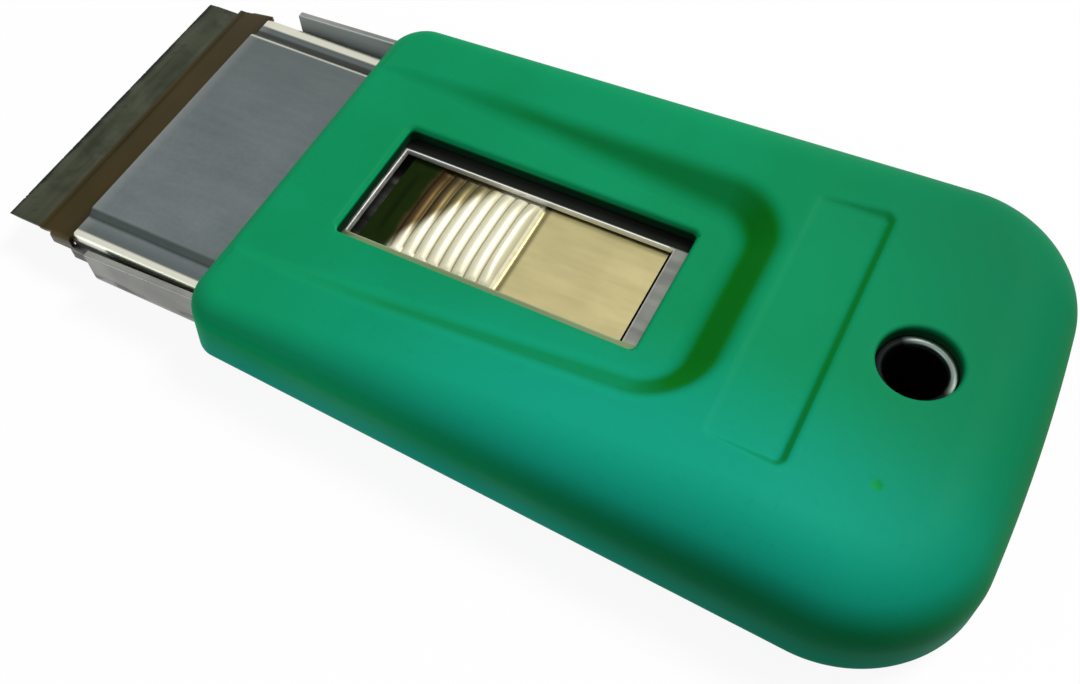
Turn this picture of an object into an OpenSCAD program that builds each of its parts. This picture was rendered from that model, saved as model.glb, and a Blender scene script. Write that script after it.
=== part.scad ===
// Palm-size scraper with a sliding blade: a moulded handle, a folded steel sleeve inside it,
// and a blade carrier that the thumb pushes along the sleeve.
// Places along the tool are counted in X from the cutting edge towards the hang hole, heights in Z
// from the face that the handle rests on. Every node is then shifted so that the origin is below
// the middle of the whole tool.

/* [Blade] */
// Width of the blade, along its cutting edge
blade_w = 40; // [30:1:60]
// Depth of the blade, from the cutting edge to its back
blade_l = 18; // [16:0.5:24]
// Thickness of the blade
blade_t = 0.3; // [0.2:0.05:0.6]
// Length of the ground bevel behind the cutting edge
bevel_l = 1.6; // [0.8:0.1:3]
// How far the blade stands out of the clamp nose
blade_reach = 5; // [3:0.25:8]
// Play between the blade's ends and the pieces beside it
blade_end_gap = 0.1; // [0.05:0.05:0.3]
// Diameter of the two studs that locate the blade
stud_d = 2.8; // [2:0.1:4]
// Distance between the two studs
stud_pitch = 24; // [12:1:26]
// Distance of the studs from the back of the blade
stud_inset = 4; // [3:0.25:6]
// How far the studs stand above the blade
stud_proud = 0.4; // [0.2:0.05:0.6]
// Play between a stud and the blade's hole
stud_gap = 0.15; // [0.05:0.05:0.3]

/* [Clamp nose] */
// Length of the sloping nose, from its lip to the cover plate
nose_l = 5; // [3:0.25:8]
// Sheet thickness of the nose
nose_sheet = 0.5; // [0.3:0.05:0.8]
// Length of the flat land that presses on the blade
nose_land = 0.8; // [0.4:0.1:1.5]
// Length of the nose's flange under the cover plate
nose_flange = 3; // [2:0.25:3.5]
// Length of the tabs that hold the blade's ends
tab_l = 3; // [1.5:0.25:3.5]
// How far the tabs reach below the blade
tab_drop = 0.6; // [0.3:0.05:1]

/* [Cover plate] */
// Sheet thickness of the cover plate
cover_sheet = 0.6; // [0.4:0.05:1]
// Height of the cover plate above the tray
cover_h = 2.1; // [2:0.05:3]
// Width of the raised middle panel
panel_w = 32; // [26:0.5:33]
// Height of the raised panel above its side bands
panel_rise = 0.6; // [0.3:0.05:0.7]
// Width of the sloping shoulder beside the panel
shoulder = 0.8; // [0.4:0.05:1.5]
// Radius of the rolled side edges
roll_r = 1.2; // [0.8:0.05:1.2]
// Length of the riveted flange at the back of the cover
cover_flange = 5; // [4.5:0.25:7]
// Length of the slope down to that flange
cover_drop_run = 1.5; // [1:0.1:3]
// Distance from the back of the cover to the thumb window
cover_back_gap = 3.2; // [2:0.2:5]

/* [Carrier tray] */
// Sheet thickness of the tray
tray_sheet = 0.8; // [0.6:0.05:1.2]
// Height of the tray's turned-down side flanges
tray_flange_h = 1.5; // [1.3:0.05:2.5]
// How much wider the tray is than the cover, on each side
tray_margin = 0.35; // [0.1:0.05:0.5]
// Distance of the tray's front edge behind the nose lip
tray_setback = 1; // [0.5:0.1:2]
// Width of the tail under the thumb spring
tail_w = 26; // [20:0.5:32]
// How far the tail runs on behind the thumb spring
tail_over = 0.5; // [0.3:0.1:2]

/* [Thumb spring] */
// Thickness of the leaf
leaf_t = 0.6; // [0.4:0.05:0.8]
// Width of the leaf
leaf_w = 18; // [15:0.5:22]
// How far the leaf runs on in front of the hump
leaf_tip = 1; // [0.5:0.1:2]
// Corner radius of the leaf's tip
leaf_corner_r = 2; // [0.5:0.25:4]
// Length of the flat pad behind the hump
pad_l = 13.1; // [8:0.2:18]
// Length of the step down to the riveted seat
joggle_run = 2; // [1.8:0.1:3]
// Length of the riveted seat
seat_l = 6.2; // [6:0.2:9]
// Width of the ribbed hump
hump_w = 10.6; // [7:0.2:11.5]
// Height of the hump's crest above the leaf
hump_rise = 1; // [0.7:0.05:1.4]
// How much lower the hump is at its front
hump_front_drop = 0.35; // [0.1:0.05:0.5]
// Length of the plain slope at the back of the hump
hump_slope = 2.5; // [1:0.1:3]
// Number of ribs across the hump
rib_count = 7; // [4:1:9]
// Distance from rib to rib
rib_pitch = 1.8; // [1.5:0.05:2.2]
// Radius of a rib
rib_r = 0.6; // [0.4:0.05:0.7]
// How far a rib stands up from the hump
rib_proud = 0.4; // [0.2:0.05:0.45]
// Plain length in front of the first rib and behind the last one
rib_lead = 1.85; // [1.2:0.05:3]

/* [Rivets] */
// Diameter of a rivet's shank
rivet_d = 2; // [1.4:0.1:2.4]
// Diameter of a rivet's heads
rivet_head_d = 3.6; // [3:0.1:4]
// Height of a rivet's heads
rivet_head_h = 0.5; // [0.3:0.05:0.6]
// Distance between the two cover rivets
cover_rivet_pitch = 22; // [14:1:24]
// Distance between the two thumb spring rivets
thumb_rivet_pitch = 11; // [6:0.5:13]
// Play under the heads of the thumb spring rivets, which lets the leaf bend
rivet_play = 0.2; // [0.15:0.05:0.3]

/* [Guide sleeve] */
// Sheet thickness of the sleeve
sleeve_sheet = 0.8; // [0.6:0.05:1.2]
// Outer radius of the sleeve's folds
fold_r = 1.6; // [1.4:0.05:2]
// How far the open trough stands out of the handle
trough_out = 15; // [12:0.2:18]
// How far the trough's open top runs on inside the handle
trough_tuck = 2.2; // [1:0.1:4]
// Width of the thumb window in the sleeve
window_w = 13.4; // [13:0.1:16]
// Corner radius of the thumb window in the sleeve
window_r = 0.8; // [0.4:0.1:1.5]
// How far the sleeve runs on behind the hang hole's middle
sleeve_tail = 7; // [6:0.25:8]

/* [Motion] */
// How far the carrier slides back to draw the blade in
travel = 14.8; // [13:0.25:17]
// How far the carrier slides forward from its working place
forward_travel = 1.8; // [0.5:0.1:3]
// How far behind the trough's front end the blade lies when it is drawn in
guard_margin = 1; // [0.5:0.1:3]
// Gap between the hump and the window's ends at the limits of the travel
stop_gap = 0.2; // [0.1:0.05:0.5]
// Running gap between the carrier and the sleeve
run_gap = 0.3; // [0.15:0.05:0.4]
// Gap between the cover plate and the sleeve's top
roof_gap = 0.4; // [0.3:0.05:0.8]

/* [Handle] */
// Wall under the sleeve
base_wall = 1.75; // [1.5:0.05:3]
// Wall over the sleeve, at the floor of the thumb recess
roof_wall = 2.25; // [1.5:0.05:3]
// Wall beside the sleeve, at the handle's mouth
side_wall = 2.35; // [2:0.05:4]
// How much wider the handle is at its back, on each side
flare = 3.3; // [2:0.1:5]
// How much higher the handle is at its back
rise = 3.8; // [3:0.1:6]
// Play between the sleeve and the handle
fit_gap = 0.05; // [0.02:0.01:0.1]
// Plan radius of the two corners at the back
corner_r = 15; // [12:0.5:18]
// How far the back edge bows out
rear_bow = 0.5; // [0.2:0.1:1]
// Half of the straight middle of the bowed back edge
bow_half = 6; // [3:0.5:9]
// Edge radius along the top, at the mouth
mouth_top_r = 3.25; // [3:0.25:5]
// Edge radius along the top, at the back
rear_top_r = 8; // [6:0.25:9]
// Edge radius along the bottom
base_r = 3; // [2:0.25:4]
// Bevel round the mouth
mouth_bevel = 0.9; // [0.4:0.1:1.5]

/* [Thumb recess and window] */
// Distance from the mouth to the front of the thumb window
window_setback = 10.4; // [8:0.2:14]
// Ledge of the sleeve that shows at the window's front
front_ledge = 0.2; // [0.1:0.1:1]
// Ledge of the sleeve that shows at the window's back
rear_ledge = 2.6; // [1:0.1:4]
// Ledge of the sleeve that shows at the window's sides
side_ledge = 1.65; // [0.5:0.05:3]
// Corner radius of the window in the handle
opening_r = 1; // [0.5:0.1:2]
// Floor of the recess behind the window
recess_back = 4.4; // [2:0.2:7]
// Width of the recess floor at the mouth
recess_front_w = 32.8; // [26:0.2:36]
// Width of the recess floor at its back end
recess_rear_w = 23.4; // [22:0.2:28]
// Corner radius of the recess floor at its back end
recess_r = 3.5; // [1:0.25:6]
// Run of the recess walls for each unit of their height
recess_slope_share = 1.2; // [0.6:0.05:1.6]

/* [Bare field and hang hole] */
// Distance from the head of the recess ramp to the field
field_gap = 2.1; // [1:0.1:4]
// Length of the field
field_l = 7.1; // [5:0.1:9]
// Width of the field
field_w = 31.4; // [24:0.2:36]
// Bore of the hang hole's eyelet
hang_d = 6.4; // [5:0.1:7]
// Wall of the eyelet's barrel
eyelet_wall = 0.4; // [0.3:0.05:0.6]
// Width of the eyelet's flanges
eyelet_flange = 0.5; // [0.4:0.05:0.8]
// Depth of the eyelet's upper flange below the handle's top
eyelet_depth = 1.5; // [0.5:0.1:3]
// Depth of the eyelet's lower flange above the handle's base
eyelet_base_depth = 0.5; // [0.2:0.05:0.8]
// Gap between the drawn-in tail and the eyelet
hole_gap = 3.05; // [1:0.05:5]
// Distance from the hang hole's middle to the back of the handle
hole_back = 13.85; // [13:0.05:18]

/* [Hidden] */
$fn = 48;

// Overrun of every cut past the face that it opens
cut = 1;

// Widths, from the blade outwards
cover_w = blade_w + 2 * blade_end_gap + 2 * cover_sheet;
tray_w = cover_w + 2 * tray_margin;
sleeve_in_w = tray_w + 2 * run_gap;
sleeve_w = sleeve_in_w + 2 * sleeve_sheet;
mouth_w = sleeve_w + 2 * fit_gap + 2 * side_wall;
rear_w = mouth_w + 2 * flare;
tab_in_w = blade_w + 2 * blade_end_gap;
tray_front_w = blade_w - 2 * run_gap;
panel_in_w = panel_w - 2 * cover_sheet;

// Heights, from the base upwards
fold_in_r = fold_r - sleeve_sheet;
sleeve_z = base_wall + fit_gap;
floor_z = sleeve_z + sleeve_sheet;
flange_z = floor_z + fold_in_r;
tray_z = flange_z + tray_flange_h;
blade_top_z = tray_z + blade_t;
cover_z = tray_z + cover_h;
roof_z = cover_z + roof_gap;
sleeve_top_z = roof_z + sleeve_sheet;
sleeve_h = sleeve_top_z - sleeve_z;
leaf_z = roof_z - run_gap;
crest_z = leaf_z + hump_rise;
recess_z = sleeve_top_z + fit_gap + roof_wall;
rear_z = recess_z + rise;

// Places along the tool, from the cutting edge backwards
cover_x = blade_reach + nose_l;
tray_x = blade_reach + tray_setback;
stud_x = blade_l - stud_inset;
trough_x = travel - guard_margin;
mouth_x = trough_x + trough_out;
window_x = mouth_x + window_setback;
cover_end_x = window_x - cover_back_gap;
hump_x = window_x + forward_travel + stop_gap;
rib_span = (rib_count - 1) * rib_pitch;
hump_l = 2 * rib_lead + rib_span + hump_slope;
hump_end_x = hump_x + hump_l;
window_l = forward_travel + travel + 2 * stop_gap + hump_l;
window_end_x = window_x + window_l;
pad_end_x = hump_end_x + pad_l;
seat_x = pad_end_x + joggle_run;
seat_end_x = seat_x + seat_l;
tail_x = seat_end_x + tail_over;
eyelet_r = hang_d / 2 + eyelet_wall;
hole_x = tail_x + travel + hole_gap + eyelet_r;
sleeve_end_x = hole_x + sleeve_tail;
overall_l = hole_x + hole_back;
opening_x = window_x + front_ledge;
opening_l = window_l - front_ledge + rear_ledge;
opening_w = window_w + 2 * side_ledge;
recess_end_x = window_end_x + rear_ledge + recess_back;

// The handle's top rises in a straight line from the mouth to the level part round the hang hole
level_x = overall_l - rear_bow - 2 * corner_r + rear_top_r;
function top_z(x) = recess_z + rise * min(1, (x - mouth_x - mouth_bevel) / (level_x - mouth_x - mouth_bevel));
ramp_head_x = recess_end_x + recess_slope_share * (top_z(recess_end_x) - recess_z);
field_x = ramp_head_x + field_gap;

// Lays an outline drawn in Y and Z along the tool, from x to x + l
module along_x(x, l) {
    translate([x, 0, 0]) rotate([90, 0, 90]) linear_extrude(l) children();
}

// Lays a side view drawn in X and Z across the tool, w wide
module across(w) {
    rotate([90, 0, 0]) linear_extrude(w, center = true) children();
}

// Repeats a piece on both sides of the middle
module both_sides(pitch) {
    for (side = [-1, 1]) translate([0, side * pitch / 2, 0]) children();
}

// Rectangle with round corners, its lower left corner at the origin
module round_rect(size, r) {
    translate([r, 0]) square([size[0] - 2 * r, size[1]]);
    translate([0, r]) square([size[0], size[1] - 2 * r]);
    for (x = [r, size[0] - r], y = [r, size[1] - r]) translate([x, y]) circle(r);
}

// Side view of a strip of sheet that follows a list of points on its upper face, seen from the side
module strip(points, sheet) {
    lower = [for (i = [len(points) - 1 : -1 : 0]) points[i] - [0, sheet]];
    polygon(concat(points, lower));
}

module placed() {
    translate([-overall_l / 2, 0, 0]) children();
}

// Handle

// Front corner post of the handle, bevelled round the mouth
module mouth_post(r, z) {
    translate([mouth_x, 0, z]) rotate([0, 90, 0]) cylinder(h = mouth_bevel, r1 = r - mouth_bevel, r2 = r);
}

// Outer quarter of a round edge in section, its upper or its lower one
module quarter_round(r, upper) {
    intersection() {
        circle(r);
        translate([0, upper ? 0 : -r]) square(r);
    }
}

// Round edge of the handle at its back: two corner rings and the bow between them
module rear_edge(r, z, upper) {
    both_sides(rear_w - 2 * corner_r)
        translate([overall_l - rear_bow - corner_r, 0, z])
            rotate_extrude() translate([corner_r - r, 0]) quarter_round(r, upper);
    translate([overall_l - r, 0, z]) across(2 * bow_half) quarter_round(r, upper);
}

module handle_form() {
    hull() {
        both_sides(mouth_w - 2 * mouth_top_r) mouth_post(mouth_top_r, recess_z - mouth_top_r);
        both_sides(mouth_w - 2 * base_r) mouth_post(base_r, base_r);
        rear_edge(rear_top_r, rear_z - rear_top_r, true);
        rear_edge(base_r, base_r, false);
    }
}

// Sloping-walled recess round the thumb window, open towards the mouth
module thumb_recess() {
    depth = rear_z - recess_z + cut;
    grown = recess_slope_share * depth;
    hull() {
        both_sides(recess_front_w - 2 * cut)
            translate([mouth_x - cut, 0, recess_z]) cylinder(h = depth, r1 = cut, r2 = cut + grown);
        both_sides(recess_rear_w - 2 * recess_r)
            translate([recess_end_x - recess_r, 0, recess_z])
                cylinder(h = depth, r1 = recess_r, r2 = recess_r + grown);
    }
}

module sleeve_cavity() {
    w = sleeve_w + 2 * fit_gap;
    along_x(mouth_x - cut, sleeve_end_x + fit_gap - mouth_x + cut)
        translate([-w / 2, sleeve_z - fit_gap]) round_rect([w, sleeve_h + 2 * fit_gap], fold_r + fit_gap);
}

module handle_opening() {
    translate([opening_x, -opening_w / 2, roof_z])
        linear_extrude(rear_z - roof_z + cut) round_rect([opening_l, opening_w], opening_r);
}

module bare_field() {
    translate([field_x, -field_w / 2, top_z(field_x)]) cube([field_l, field_w, rise + cut]);
}

module hang_hole() {
    flange_r = eyelet_r + eyelet_flange + fit_gap;
    translate([hole_x, 0, 0]) {
        translate([0, 0, -cut]) cylinder(h = rear_z + 2 * cut, r = eyelet_r + fit_gap);
        translate([0, 0, rear_z - eyelet_depth - eyelet_wall]) cylinder(h = rear_z, r = flange_r);
        translate([0, 0, -cut]) cylinder(h = cut + eyelet_base_depth + eyelet_wall, r = flange_r);
    }
}

module handle_shell() {
    color("seagreen") placed() difference() {
        handle_form();
        thumb_recess();
        sleeve_cavity();
        handle_opening();
        bare_field();
        hang_hole();
    }
}

// Guide sleeve and eyelet

module sleeve_section() {
    difference() {
        translate([-sleeve_w / 2, sleeve_z]) round_rect([sleeve_w, sleeve_h], fold_r);
        translate([-sleeve_in_w / 2, floor_z]) round_rect([sleeve_in_w, roof_z - floor_z], fold_in_r);
    }
}

module guide_sleeve() {
    trough_l = trough_out + trough_tuck;
    color("silver") placed() difference() {
        along_x(trough_x, sleeve_end_x - trough_x) sleeve_section();
        translate([trough_x - cut, -sleeve_in_w / 2, flange_z]) cube([trough_l + cut, sleeve_in_w, sleeve_h]);
        translate([window_x, -window_w / 2, flange_z]) linear_extrude(sleeve_h)
            round_rect([window_l, window_w], window_r);
        translate([hole_x, 0, 0]) cylinder(h = rear_z, r = eyelet_r + fit_gap);
    }
}

module hang_eyelet() {
    low = eyelet_base_depth;
    high = rear_z - eyelet_depth;
    flange_r = eyelet_r + eyelet_flange;
    color("lightgray") placed() translate([hole_x, 0, 0]) rotate_extrude() {
        translate([hang_d / 2, low]) square([eyelet_wall, high - low]);
        for (z = [low, high - eyelet_wall]) translate([hang_d / 2, z]) square([flange_r - hang_d / 2, eyelet_wall]);
    }
}

// Carrier

// Turned-down side flanges and the plate between them
module tray_section() {
    difference() {
        translate([-tray_w / 2, flange_z]) square([tray_w, tray_flange_h]);
        translate([tray_sheet - tray_w / 2, flange_z - cut])
            square([tray_w - 2 * tray_sheet, cut + tray_flange_h - tray_sheet]);
    }
}

module rivet_holes(x, pitch, r) {
    both_sides(pitch) translate([x, 0, flange_z]) cylinder(h = roof_z - flange_z, r = r);
}

cover_rivet_x = cover_end_x - cover_flange / 2;
thumb_rivet_x = seat_x + seat_l / 2;

module carrier_tray() {
    plate_z = tray_z - tray_sheet;
    color("darkkhaki") placed() difference() {
        union() {
            translate([tray_x, -tray_front_w / 2, plate_z])
                cube([cover_x - tray_x + tray_sheet, tray_front_w, tray_sheet]);
            along_x(cover_x, cover_end_x + cover_back_gap - cover_x) tray_section();
            translate([cover_end_x, -tail_w / 2, plate_z]) cube([tail_x - cover_end_x, tail_w, tray_sheet]);
        }
        rivet_holes(stud_x, stud_pitch, stud_d / 2 + fit_gap);
        rivet_holes(cover_rivet_x, cover_rivet_pitch, rivet_d / 2 + fit_gap);
        rivet_holes(thumb_rivet_x, thumb_rivet_pitch, rivet_d / 2 + fit_gap);
    }
}

// Rivet whose shank runs from the underside of the tray to the height given
module rivet(shank_r, head_r, top, upper_head) {
    plate_z = tray_z - tray_sheet;
    translate([0, 0, plate_z - rivet_head_h]) cylinder(h = rivet_head_h, r = head_r);
    translate([0, 0, plate_z]) cylinder(h = top - plate_z, r = shank_r);
    if (upper_head) translate([0, 0, top]) cylinder(h = rivet_head_h, r = head_r);
}

module blade_studs() {
    head_r = stud_d / 2 + (rivet_head_d - rivet_d) / 2;
    color("gainsboro") placed() both_sides(stud_pitch) translate([stud_x, 0, 0])
        rivet(stud_d / 2, head_r, blade_top_z + stud_proud, false);
}

module razor_blade() {
    outline = [
        [0, tray_z + blade_t / 2],
        [bevel_l, blade_top_z],
        [blade_l, blade_top_z],
        [blade_l, tray_z],
        [bevel_l, tray_z]
    ];
    color("dimgray") placed() difference() {
        across(blade_w) polygon(outline);
        rivet_holes(stud_x, stud_pitch, stud_d / 2 + stud_gap);
    }
}

// Spring strip: a land on the blade, a slope up to the cover, a flange below it and a tab at each end
module clamp_nose() {
    panel_under_z = cover_z - cover_sheet;
    land_z = blade_top_z + nose_sheet;
    land_end_x = blade_reach + nose_land;
    slope_end_x = cover_x - fit_gap;
    tab_x = slope_end_x - tab_l;
    tab_share = (tab_x - land_end_x) / (slope_end_x - land_end_x);
    tab_z = land_z + tab_share * (panel_under_z - land_z);
    tab_w = (cover_w - tab_in_w) / 2;
    slope = [[blade_reach, land_z], [land_end_x, land_z], [slope_end_x, panel_under_z]];
    wide = [[tab_x, tab_z], [slope_end_x, panel_under_z]];
    flange = [[slope_end_x, panel_under_z], [cover_x + nose_flange, panel_under_z]];
    color("saddlebrown") placed() {
        across(blade_w) strip(slope, nose_sheet);
        across(cover_w) strip(wide, nose_sheet);
        across(panel_in_w - 2 * shoulder) strip(flange, nose_sheet);
        both_sides(tab_in_w + tab_w) across(tab_w) polygon([
            [tab_x, tray_z - tab_drop],
            [slope_end_x, tray_z - tab_drop],
            [slope_end_x, panel_under_z],
            [tab_x, tab_z]
        ]);
    }
}

// Cross-section of the cover, filled down to the tray and drawn smaller all round by inset
module cover_outline(inset) {
    half = cover_w / 2 - inset;
    top = cover_z - inset;
    band = top - panel_rise;
    r = roll_r - inset;
    lean = inset * tan(atan(panel_rise / shoulder) / 2);
    panel = panel_w / 2 - lean;
    for (side = [0, 1]) mirror([side, 0]) {
        polygon([
            [0, tray_z], [0, top], [panel, top], [panel + shoulder, band], [half - r, band], [half - r, tray_z]
        ]);
        translate([half - r, tray_z]) square([r, band - r - tray_z]);
        translate([half - r, band - r]) intersection() {
            circle(r);
            square(r);
        }
    }
}

module cover_plate() {
    drop_x = cover_end_x - cover_flange - cover_drop_run;
    foot_z = tray_z + cover_sheet;
    tongue = [
        [drop_x, cover_z], [cover_end_x - cover_flange, foot_z], [cover_end_x, foot_z]
    ];
    color("slategray") placed() difference() {
        union() {
            along_x(cover_x, drop_x - cover_x) difference() {
                cover_outline(0);
                cover_outline(cover_sheet);
            }
            across(panel_in_w) strip(tongue, cover_sheet);
        }
        rivet_holes(cover_rivet_x, cover_rivet_pitch, rivet_d / 2 + fit_gap);
    }
}

module cover_rivets() {
    color("gainsboro") placed() both_sides(cover_rivet_pitch) translate([cover_rivet_x, 0, 0])
        rivet(rivet_d / 2, rivet_head_d / 2, tray_z + cover_sheet, true);
}

// Thumb spring

// The hump is turned about an axis along the tool, so that it and its ribs are crowned across
crown_r = (pow(hump_w / 2, 2) + pow(hump_rise, 2)) / (2 * hump_rise);
crown_z = crest_z - crown_r;
crown_a = asin(hump_w / 2 / crown_r);

// Radius of the hump's surface at a distance from its front end
function hump_r(x) = crown_r - hump_front_drop * max(0, 1 - x / (rib_lead + rib_span));

module turned_hump() {
    translate([hump_x, 0, crown_z]) rotate([0, 90, 0]) rotate([0, 0, 180 - crown_a])
        rotate_extrude(angle = 2 * crown_a) children();
}

module hump_profile(inset) {
    low = leaf_z - leaf_t - crown_z;
    crest_end = 2 * rib_lead + rib_span;
    polygon([
        [low, inset], [hump_r(inset) - inset, inset],
        [crown_r - inset, rib_lead + rib_span], [crown_r - inset, crest_end - inset],
        [crown_r - hump_rise - inset, hump_l - inset], [low, hump_l - inset]
    ]);
}

module ribs() {
    for (i = [0 : rib_count - 1]) {
        x = rib_lead + i * rib_pitch;
        translate([hump_r(x) + rib_proud - rib_r, x]) circle(rib_r);
    }
}

module leaf() {
    tip_x = hump_x - leaf_tip;
    foot_z = tray_z + leaf_t;
    upper = [[tip_x, leaf_z], [pad_end_x, leaf_z], [seat_x, foot_z], [seat_end_x, foot_z]];
    intersection() {
        across(leaf_w) strip(upper, leaf_t);
        translate([tip_x, -leaf_w / 2, 0]) linear_extrude(crest_z)
            round_rect([seat_end_x - tip_x, leaf_w], leaf_corner_r);
    }
}

module thumb_spring() {
    under_z = leaf_z - leaf_t;
    color("khaki") placed() difference() {
        union() {
            leaf();
            intersection() {
                turned_hump() {
                    hump_profile(0);
                    ribs();
                }
                translate([hump_x, -hump_w / 2, under_z]) cube([hump_l, hump_w, crown_r]);
            }
        }
        intersection() {
            turned_hump() hump_profile(leaf_t);
            translate([hump_x, -hump_w / 2, under_z - cut]) cube([hump_l, hump_w, crown_r]);
        }
        rivet_holes(thumb_rivet_x, thumb_rivet_pitch, rivet_d / 2 + rivet_play);
    }
}

module thumb_rivets() {
    color("gainsboro") placed() both_sides(thumb_rivet_pitch) translate([thumb_rivet_x, 0, 0])
        rivet(rivet_d / 2, rivet_head_d / 2, tray_z + leaf_t + rivet_play, true);
}

handle_shell();
guide_sleeve();
hang_eyelet();
carrier_tray();
blade_studs();
razor_blade();
clamp_nose();
cover_plate();
cover_rivets();
thumb_spring();
thumb_rivets();
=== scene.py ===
# Razor blade scraper with a sliding blade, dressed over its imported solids.
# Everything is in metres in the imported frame: the cutting edge points to -X and the handle rests on Z 0.
import math

import bmesh
import bpy
import numpy as np
import openvdb
from mathutils import Matrix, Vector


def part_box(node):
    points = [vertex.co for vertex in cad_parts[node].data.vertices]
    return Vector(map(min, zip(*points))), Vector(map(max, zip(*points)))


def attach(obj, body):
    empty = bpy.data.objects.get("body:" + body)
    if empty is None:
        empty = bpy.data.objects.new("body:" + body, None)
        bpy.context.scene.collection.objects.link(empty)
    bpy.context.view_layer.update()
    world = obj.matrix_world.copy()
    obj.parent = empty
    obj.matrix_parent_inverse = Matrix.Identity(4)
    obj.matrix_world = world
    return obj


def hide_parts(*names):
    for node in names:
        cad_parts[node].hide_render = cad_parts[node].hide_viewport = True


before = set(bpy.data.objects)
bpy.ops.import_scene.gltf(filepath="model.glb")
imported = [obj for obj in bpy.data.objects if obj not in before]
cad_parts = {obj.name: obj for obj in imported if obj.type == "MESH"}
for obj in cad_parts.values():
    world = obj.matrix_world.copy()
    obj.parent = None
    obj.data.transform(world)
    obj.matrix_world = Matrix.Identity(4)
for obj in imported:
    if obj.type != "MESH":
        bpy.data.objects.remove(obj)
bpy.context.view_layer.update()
MM = 0.001

# Camera
# It stands over the back corner of the tool and looks down along it towards the blade
def placed(name, data):
    """New object in the scene that shows a camera, a lamp or a mesh."""
    made = bpy.data.objects.new(name, data)
    bpy.context.collection.objects.link(made)
    return made


camera_data = bpy.data.cameras.new("camera")
camera_data.sensor_width = 36
camera_data.lens = 40.277
camera_data.clip_start = 5 * MM
camera = placed("camera", camera_data)
camera.location = (0.04326, -0.07083, 0.11295)
camera.rotation_euler = [math.radians(turn) for turn in (33.657, 1.957, 27.401)]
bpy.context.scene.camera = camera
bpy.context.scene.view_settings.view_transform = "Standard"


# Floor, backdrop and lamps
# A white table top in a white room, with a painted shadow below the hang hole. The main lamp
# stands high behind the hanging end, on the far side, and a weak cool one stands low at the near front.
def sign(operation, turned=False):
    """Method of a wire that adds one Math node, with its two values turned round where asked."""
    def method(self, other):
        return self.maths(operation, *((other, self) if turned else (self, other)))
    return method


class Wire:
    """A node's socket that can stand in sums."""

    __add__ = __radd__ = sign("ADD")
    __mul__ = __rmul__ = sign("MULTIPLY")
    __sub__ = sign("SUBTRACT")
    __rsub__ = sign("SUBTRACT", True)
    __truediv__ = sign("DIVIDE")
    __pow__ = sign("POWER")
    most = sign("MAXIMUM")
    least = sign("MINIMUM")

    def __init__(self, recipe, socket):
        self.recipe = recipe
        self.socket = socket

    def maths(self, operation, *values):
        return self.recipe.node("ShaderNodeMath", values, operation=operation)

    def size(self):
        return self.maths("ABSOLUTE", self)

    def smooth(self, low, high):
        """Goes from 0 at low to 1 at high without a corner at either."""
        values = {"Value": self, "From Min": low, "From Max": high}
        return self.recipe.node("ShaderNodeMapRange", values, interpolation_type="SMOOTHSTEP")

    def across(self, span):
        """Goes from 0 to 1 over a span of places, in millimetres."""
        return self.smooth(span[0] * MM, span[1] * MM)

    def between(self, start, end):
        """1 between two places, with a soft start and a soft end."""
        return self.across(start) * (1 - self.across(end))


class Recipe:
    """A node tree that is being written, for a finish or for a shape."""

    def __init__(self, tree):
        self.tree = tree
        tree.nodes.clear()

    def node(self, kind, values=None, output=0, **settings):
        made = self.tree.nodes.new(kind)
        for name, value in settings.items():
            setattr(made, name, value)
        if not isinstance(values, dict):
            values = dict(enumerate(values or ()))
        for key, value in values.items():
            socket = made.inputs[key]
            if isinstance(value, Wire):
                self.tree.links.new(value.socket, socket)
            elif socket.type == "RGBA":
                socket.default_value = (*value, 1)
            else:
                socket.default_value = value
        return Wire(self, made.outputs[output]) if made.outputs else None

    def blend(self, share, first, second):
        """Colour that goes from the first to the second one with the share."""
        values = {0: share, 6: first, 7: second}
        return self.node("ShaderNodeMix", values, 2, data_type="RGBA")

    def coats(self, colour, layers):
        """Colour under a row of coats, each with its share and its own colour."""
        for share, coat in layers:
            colour = self.blend(share, colour, coat)
        return colour


def seen_directly(recipe):
    """1 for what the camera sees, itself or in a mirror or through glass, and 0 for light on the object."""
    path = recipe.node("ShaderNodeLightPath", output="Is Camera Ray")
    rays = path.socket.node.outputs
    mirrored = Wire(recipe, rays["Is Glossy Ray"])
    through = Wire(recipe, rays["Is Transmission Ray"])
    return path.most(mirrored).most(through)


def lamp(name, place, size, power, colour):
    """Square lamp that faces the middle of the tool."""
    data = bpy.data.lights.new(name, "AREA")
    data.size = size
    data.energy = power
    data.color = colour
    made = placed(name, data)
    made.location = place
    made.rotation_euler = made.location.to_track_quat("Z", "Y").to_euler()


def new_piece(name, points, faces):
    mesh = bpy.data.meshes.new(name)
    mesh.from_pydata(points, [], faces)
    return placed(name, mesh)


def coordinates(recipe, place):
    return [recipe.node("ShaderNodeSeparateXYZ", [place], side) for side in "XYZ"]


def position(recipe):
    """The three coordinates of a point on the piece."""
    return coordinates(recipe, recipe.node("ShaderNodeTexCoord", output="Object"))


def off_line(x, y, middle_x, middle_y):
    """Distance in plan from an upright line, whose place is given in millimetres."""
    return ((x - middle_x * MM) ** 2 + (y - middle_y * MM) ** 2) ** 0.5


WHITE = (1, 1, 1)
ROOM_LIGHT = 0.2
TABLE_GLOW = 0.92
TABLE_HALF = 3.0
TABLE_DROP = 0.02 * MM
HOLE_X, TABLE_SHADOW_R, TABLE_CLEAR_R = 43.8, 7, 11
TABLE_GREY, TABLE_PALE, TABLE_SHADOW_PAINT = (0.18, 0.19, 0.20), (0.94, 0.94, 0.94), (0.01, 0.01, 0.01)

world = bpy.data.worlds.new("white_room")
world.use_nodes = True
bpy.context.scene.world = world
room = Recipe(world.node_tree)
room_strength = ROOM_LIGHT + (1 - ROOM_LIGHT) * seen_directly(room)
room_shade = room.node("ShaderNodeBackground", {"Color": WHITE, "Strength": room_strength})
room.node("ShaderNodeOutputWorld", {"Surface": room_shade})

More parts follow.
